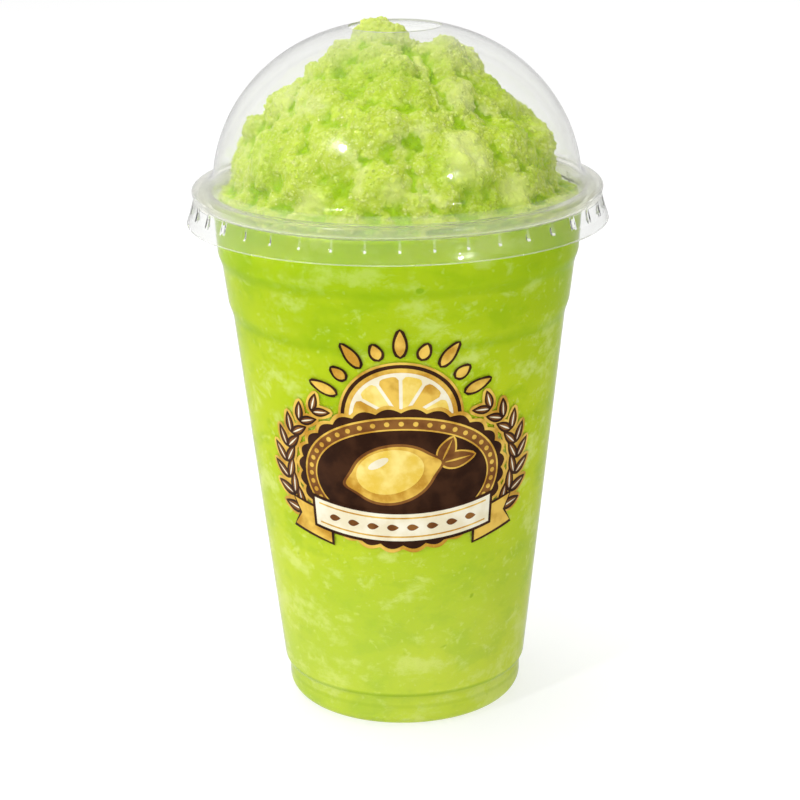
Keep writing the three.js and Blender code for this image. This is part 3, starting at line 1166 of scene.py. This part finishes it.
def pressed_slush():
    """Slush against the wall: soft clouds of ice, deep green at the neck, partly drink and partly
    painted shade.
    """
    material, tree, shader, coordinates = new_material("pressed_slush")
    mapping = {"Vector": coordinates, "Scale": FLATTENED}
    stretched = add_node(tree, "ShaderNodeMapping", mapping).outputs["Vector"]
    broad = add_noise(tree, stretched, *BROAD_NOISE)
    clouds = add_noise(tree, stretched, *CLOUD_NOISE)
    wisps = add_noise(tree, stretched, *WISP_NOISE)
    flecks = add_noise(tree, coordinates, *ICE_FLECK_NOISE)
    pits = add_noise(tree, coordinates, *PIT_NOISE)
    height = height_above_table(tree, coordinates)
    colour = PRESSED_LIME
    for value, fade, share, over in (
        (broad, (0.38, 0.62), 1, PRESSED_YELLOW),
        (clouds, (0.49, 0.36), 0.5, PRESSED_DEEP),
        (clouds, (0.52, 0.66), 0.8, PRESSED_ICE),
        (wisps, (0.54, 0.72), 0.7, PRESSED_ICE),
        (flecks, (0.62, 0.74), 0.45, PRESSED_ICE),
        (height, ICE_FADE, 0.3, PRESSED_ICE),
        (pits, (0.76, 0.80), 0.8, PRESSED_PITS_AND_SHADE),
    ):
        colour = wash(tree, colour, value, fade, share, over)
    # Painted shade: a ramp on the height darkens the wall's steps and the upper part up to the
    # neck.
    level = remap(tree, height, 0, FILL_TOP * MM, smooth=False)
    steps = add_node(tree, "ShaderNodeValToRGB", {"Fac": level})
    stops = steps.color_ramp.elements
    while len(stops) > 1:
        stops.remove(stops[-1])
    for index, (z, shade) in enumerate(WALL_SHADES):
        stop = stops[0] if index == 0 else stops.new(z / FILL_TOP)
        stop.position = z / FILL_TOP
        stop.color = (shade, shade, shade, 1)
    look = {
        "Base Color": blend(tree, steps.outputs["Color"], colour, PRESSED_PITS_AND_SHADE),
        **translucent(2.0, 0.45),
        "Specular IOR Level": 0.05,
    }
    feed(tree, shader, look)
    return material


finished = (
    (heap, heaped_slush()),
    (fill, pressed_slush()),
    (coarse_grains, heap_ice),
    (fine_grains, heap_ice),
    (frost, frost_ice_and_sparkle),
)
for piece, finish in finished:
    piece.data.materials.clear()
    piece.data.materials.append(finish)
    print(piece.name, "is made of", finish.name)

# %% [markdown]
# A badge is printed on the front of the cup. Ink is a film far thinner than the wall, in a
# few flat colours that lie one on the other. Each field of colour starts as a disc whose
# rim points are moved to an outline. All of them are laid out flat, cut into narrow upright
# strips, and then rolled round the wall, because a flat face can't follow a curve. The
# design is a lemon on a scalloped oval plaque, with a slice of citrus that rises behind
# it, leaves up both sides and a banner across its foot.

# %% Outlines of the badge
PLAQUE_CENTRE = (0.0, 69.0)
PLAQUE_ACROSS = 26.0
PLAQUE_UP = 17.4
SCALLOPS = 28
SCALLOP_BULGE = 1.1


def turned_point(centre, turn, along, aside):
    """A point measured along and aside of a direction. The turn is in degrees."""
    angle = math.radians(turn)
    return (
        centre[0] + along * math.cos(angle) - aside * math.sin(angle),
        centre[1] + along * math.sin(angle) + aside * math.cos(angle),
    )


def oval(centre, across, up, turn=0.0, count=40):
    """An oval's outline, anticlockwise."""
    angles = np.linspace(0, math.tau, count, endpoint=False)
    return [
        turned_point(centre, turn, across * math.cos(angle), up * math.sin(angle))
        for angle in angles
    ]


def scalloped_plaque(swell=0.0):
    """The plaque's outline, grown by a swell in mm."""
    outline = []
    for angle in np.linspace(0, math.tau, SCALLOPS * 8, endpoint=False):
        bulge = swell + SCALLOP_BULGE * abs(math.sin(SCALLOPS / 2 * angle))
        outline.append(
            (
                PLAQUE_CENTRE[0] + (PLAQUE_ACROSS + bulge) * math.cos(angle),
                PLAQUE_CENTRE[1] + (PLAQUE_UP + bulge) * math.sin(angle),
            )
        )
    return outline


def leaf(base, turn, length, width, swell=0.0):
    """A pointed leaf that grows from its base in a direction."""
    shares = np.linspace(0, 1, 14)
    sides = []
    for side in (-1, 1):
        for share in shares if side < 0 else shares[-2:0:-1]:
            half = (width / 2) * math.sin(math.pi * share**0.8) ** 0.85 + swell
            along = -swell + share * (length + 2 * swell)
            if share in (0, 1):
                half = 0
            sides.append(turned_point(base, turn, along, side * half))
    return sides


def lemon(centre, turn, across, up, swell=0.0):
    """A lemon's outline: an oval with a small knob at either end."""
    outline = []
    for angle in np.linspace(0, math.tau, 96, endpoint=False):
        knob = 1 + 0.2 * abs(math.cos(angle)) ** 24
        along = (across + swell) * math.cos(angle) * knob
        outline.append(turned_point(centre, turn, along, (up + swell) * math.sin(angle)))
    return outline


def citrus_segment(centre, turn, inner, outer, half_angle):
    """One wedge of a citrus wheel, with a rounded outer edge."""
    shape = [turned_point(centre, turn, inner, 0)]
    for share in np.linspace(-1, 1, 9):
        angle = math.radians(half_angle * share)
        reach = outer * (1 - 0.09 * share**6)
        shape.append(
            turned_point(centre, turn, reach * math.cos(angle), reach * math.sin(angle))
        )
    return shape


def banner(first, last, low, high, curve, swell=0.0):
    """A band between two places across, lifted towards its ends by a curve."""
    places = np.linspace(first - swell, last + swell, 19)
    under = [(x, low - swell + curve * x * x) for x in places]
    over = [(x, high + swell + curve * x * x) for x in places[::-1]]
    return under + over


def banner_tail(side, swell=0.0):
    """The notched end of the banner that shows behind it, to one side."""
    corners = [
        (19.0 - swell, 51.0 - swell),
        (30.6 + swell, 54.0 - swell),
        (27.8 + swell, 57.4),
        (29.8 + swell, 61.2 + swell),
        (19.0 - swell, 58.6 + swell),
    ]
    if side < 0:
        corners = [(-x, z) for x, z in corners[::-1]]
    return corners


# %% Lay out the badge
DARK_BROWN, MID_BROWN, GOLD, CREAM, LEMON = range(5)
SLICE_CENTRE = (0.0, 84.6)
SLICE_RADIUS = 13.2
SLICE_SEGMENTS = 12
# How much wider than the slice each of its rings is, and its ink.
SLICE_RINGS = ((1.5, GOLD), (0.9, DARK_BROWN), (0.0, GOLD), (-1.1, CREAM))
RAYS = 9
RAY_FAN = (22, 158)
RAY_LENGTHS = (6.6, 3.8)
RAY_WIDTH = 2.3
RAY_GAP = 2.9
LAUREL_LEAVES = 8
LAUREL_ACROSS = PLAQUE_ACROSS + 5.4
LAUREL_UP = PLAQUE_UP + 5.0
LAUREL_FIRST = -30.0
LAUREL_LAST = 46.0
LAUREL_LEANS = (-38, 30)
# The lowest leaf's size, and how it changes from leaf to leaf.
LAUREL_LENGTH = (7.0, -0.25)
LAUREL_WIDTH = (3.1, -0.1)
# The plaque's rims: how far inside its edge, ink and layer.
PLAQUE_RIMS = ((1.0, GOLD, 7), (1.5, MID_BROWN, 8), (4.0, GOLD, 9), (4.4, DARK_BROWN, 10))
BEADS = 44
BEAD_INSET = 2.75
BEAD_RADIUS = 0.62
LEMON_CENTRE = (-2.2, 70.4)
LEMON_SIZE = (10.0, 7.2)
LEMON_TURN = 14
LEMON_STEM = (9.4, 73.0)
# The lemon's leaves: direction and length.
LEMON_LEAVES = ((66, 7.0), (8, 8.6))
LEMON_LEAF_WIDTH = 4.0
BANNER = (-23.0, 23.0, 52.8, 60.0)
BANNER_CURVE = 0.005
# Both edges of each line on the banner, and the height of the seeds between them.
BANNER_LINES = ((53.7, 54.1), (58.7, 59.1))
SEED_LEVEL = 56.4
SEED_LENGTH = 3.0

fields = []


def lay(outline, ink, layer):
    """Adds a field of ink in a layer, counted from the wall outwards."""
    fields.append((outline, ink, layer))


def lay_edged(shape, values, swell, edge, ink, layer):
    """Adds a field on a wider one of another ink. The shape is an outline's function."""
    lay(shape(*values, swell), edge, layer)
    lay(shape(*values), ink, layer + 1)


def disc(centre, radius, ink, layer, count=64):
    """Adds a round field of ink."""
    lay(oval(centre, radius, radius, count=count), ink, layer)


def add_leaf(base, turn, length, width):
    """Adds a brown leaf with a gold edge, a lighter middle and a pale vein."""
    heart = turned_point(base, turn, length * 0.14, 0)
    lay_edged(leaf, (base, turn, length, width), 0.6, GOLD, DARK_BROWN, 0)
    lay(leaf(heart, turn, length * 0.72, width * 0.55), MID_BROWN, 2)
    lay(leaf(heart, turn, length * 0.66, 0.4), CREAM, 3)


# A slice of citrus rises behind the plaque, with drops of juice round it.
for layer, (wider_by, ink) in enumerate(SLICE_RINGS):
    disc(SLICE_CENTRE, SLICE_RADIUS + wider_by, ink, layer)
for i in range(SLICE_SEGMENTS):
    turn = 360 / SLICE_SEGMENTS * (i + 0.5)
    wedge = citrus_segment(
        SLICE_CENTRE, turn, 1.5, SLICE_RADIUS - 2.0, 180 / SLICE_SEGMENTS - 2.2
    )
    lay(wedge, GOLD if i % 2 else LEMON, 4)
for step, turn in enumerate(np.linspace(*RAY_FAN, RAYS)):
    base = turned_point(SLICE_CENTRE, turn, SLICE_RADIUS + RAY_GAP, 0)
    drop = (base, turn, RAY_LENGTHS[step % 2], RAY_WIDTH)
    lay_edged(leaf, drop, 0.55, DARK_BROWN, GOLD, 0)

# Laurel leaves grow up both sides of the plaque.
laurel_places = np.radians(np.linspace(LAUREL_FIRST, LAUREL_LAST, LAUREL_LEAVES))
for side in (-1, 1):
    for step, place in enumerate(laurel_places):
        x = LAUREL_ACROSS * math.cos(place)
        z = PLAQUE_CENTRE[1] + LAUREL_UP * math.sin(place)
        ahead = (-LAUREL_ACROSS * math.sin(place), LAUREL_UP * math.cos(place))
        growth = math.degrees(math.atan2(ahead[1], ahead[0]))
        for lean in LAUREL_LEANS:
            turn = growth + lean
            heading = turn if side > 0 else 180 - turn
            length = LAUREL_LENGTH[0] + LAUREL_LENGTH[1] * step
            width = LAUREL_WIDTH[0] + LAUREL_WIDTH[1] * step
            add_leaf((side * x, z), heading, length, width)

# The plaque has a rim of beads and a lemon with leaves in its field.
lay_edged(scalloped_plaque, (), 1.0, GOLD, DARK_BROWN, 5)
for inset_by, ink, layer in PLAQUE_RIMS:
    rim = oval(PLAQUE_CENTRE, PLAQUE_ACROSS - inset_by, PLAQUE_UP - inset_by, count=96)
    lay(rim, ink, layer)
for place in np.linspace(0, math.tau, BEADS, endpoint=False):
    bead = (
        PLAQUE_CENTRE[0] + (PLAQUE_ACROSS - BEAD_INSET) * math.cos(place),
        PLAQUE_CENTRE[1] + (PLAQUE_UP - BEAD_INSET) * math.sin(place),
    )
    disc(bead, BEAD_RADIUS, GOLD, 9, 14)
for turn, length in LEMON_LEAVES:
    vein = turned_point(LEMON_STEM, turn, 0.8, 0)
    values = (LEMON_STEM, turn, length, LEMON_LEAF_WIDTH)
    lay_edged(leaf, values, 0.4, GOLD, MID_BROWN, 11)
    lay(leaf(vein, turn, length * 0.8, 0.5), GOLD, 13)
lay_edged(lemon, (LEMON_CENTRE, LEMON_TURN, *LEMON_SIZE), 0.7, MID_BROWN, GOLD, 13)
lay(oval((-2.9, 71.1), 8.3, 5.7, turn=LEMON_TURN), LEMON, 15)
lay(oval((-5.6, 73.3), 2.8, 1.0, turn=30, count=20), CREAM, 16)

# The banner lies across the foot of the plaque.
for side in (-1, 1):
    lay_edged(banner_tail, (side,), 0.7, DARK_BROWN, GOLD, 11)
lay_edged(banner, (*BANNER, BANNER_CURVE), 0.8, DARK_BROWN, CREAM, 17)
for low, high in BANNER_LINES:
    lay(banner(-21.8, 21.8, low, high, BANNER_CURVE), GOLD, 19)
for x in np.arange(-17.5, 18, 5.0):
    seed = (x - SEED_LENGTH / 2, SEED_LEVEL + BANNER_CURVE * x * x)
    lay(leaf(seed, 0, SEED_LENGTH, 1.7), MID_BROWN, 19)
print("fields of ink:", len(fields))

# %% Mix the inks
INK_PATCH_NOISE = (190.0, 3.0, 0.5)
INK_SPECK_NOISE = (1800.0, 1.0, 0.5)
# Each ink's name, its colour and the lighter colour of its patches.
INKS = (
    ("dark_brown_ink", (0.026, 0.007, 0.0015), (0.055, 0.017, 0.004)),
    ("mid_brown_ink", (0.15, 0.048, 0.008), (0.27, 0.11, 0.020)),
    ("gold_ink", (0.52, 0.26, 0.020), (0.82, 0.54, 0.09)),
    ("cream_ink", (0.80, 0.72, 0.50), (0.90, 0.85, 0.68)),
    ("lemon_ink", (0.80, 0.55, 0.07), (0.93, 0.76, 0.24)),
)


def printed_ink(name, shade, light):
    """Slightly uneven glossy ink, a little lighter in soft patches."""
    material, tree, shader, coordinates = new_material(name)
    patches = add_noise(tree, coordinates, *INK_PATCH_NOISE)
    specks = add_noise(tree, coordinates, *INK_SPECK_NOISE)
    colour = wash(tree, shade, patches, (0.35, 0.65), 1, light)
    look = {
        "Base Color": wash(tree, colour, specks, (0.55, 0.8), 0.25, light),
        "Roughness": remap(tree, patches, 0.3, 0.7, 0.3, 0.42),
        "Specular IOR Level": 0.2,
    }
    feed(tree, shader, look)
    return material


inks = [printed_ink(*ink) for ink in INKS]

# %% Print the badge on the wall
INK_FILM = 0.012
LAYER_STEP = 0.015
FIRST_LAYER = 0.03
PRINT_TOP = 128.0
STRIP = 1.6
BADGE_REACH = 41.0
# Heights where the print is cut across, so that it follows the wall's shoulders.
STEP_CUTS = (98.0, 100.8, 101.3, 101.9, 102.6, 103.6, 104.6, 105.2, 106.0, 109.0)
ROLL_RADIUS = 38.0

on_wall = [(z, r) for r, z in cup_profile if r > WALL_FOOT[0] and z < PRINT_TOP]
wall_heights, wall_radii = zip(*on_wall)


def print_field(outline, ink, layer):
    """One flat field of ink in front of the cup, a step nearer for each layer."""
    deselect_all()
    bpy.ops.mesh.primitive_circle_add(
        vertices=len(outline), fill_type="NGON", rotation=(math.radians(90), 0, 0)
    )
    field = bpy.context.object
    bpy.ops.object.transform_apply(location=True, rotation=True, scale=True)
    depth = -(FIRST_LAYER + layer * LAYER_STEP) * MM
    for point, (x, z) in zip(field.data.vertices, outline):
        point.co = (x * MM, depth, z * MM)
    field.data.update()
    if field.data.polygons[0].normal.y > 0:
        field.data.flip_normals()
    for finish in inks:
        field.data.materials.append(finish)
    field.data.polygons[0].material_index = ink
    return field


printed = [print_field(*field) for field in fields]
deselect_all()
for field in printed:
    field.select_set(True)
badge = printed[0]
bpy.context.view_layer.objects.active = badge
bpy.ops.object.join()
badge.name = "badge"
bpy.ops.object.mode_set(mode="EDIT")
bpy.ops.mesh.select_all(action="SELECT")
bpy.ops.mesh.quads_convert_to_tris(quad_method="BEAUTY", ngon_method="BEAUTY")
for x in np.arange(-BADGE_REACH, BADGE_REACH + STRIP / 2, STRIP):
    bpy.ops.mesh.select_all(action="SELECT")
    bpy.ops.mesh.bisect(plane_co=(x * MM, 0, 0), plane_no=(1, 0, 0))
for z in STEP_CUTS:
    bpy.ops.mesh.select_all(action="SELECT")
    bpy.ops.mesh.bisect(plane_co=(0, 0, z * MM), plane_no=(0, 0, 1))
bpy.ops.object.mode_set(mode="OBJECT")
for point in badge.data.vertices:
    turn = point.co.x / (ROLL_RADIUS * MM)
    radius = float(np.interp(point.co.z / MM, wall_heights, wall_radii)) * MM - point.co.y
    point.co.x = radius * math.sin(turn)
    point.co.y = -radius * math.cos(turn)
badge.data.update()
film = badge.modifiers.new("film", "SOLIDIFY")
film.thickness = INK_FILM * MM
film.offset = -1
apply_modifiers(badge)
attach(badge, "root")
report(badge)
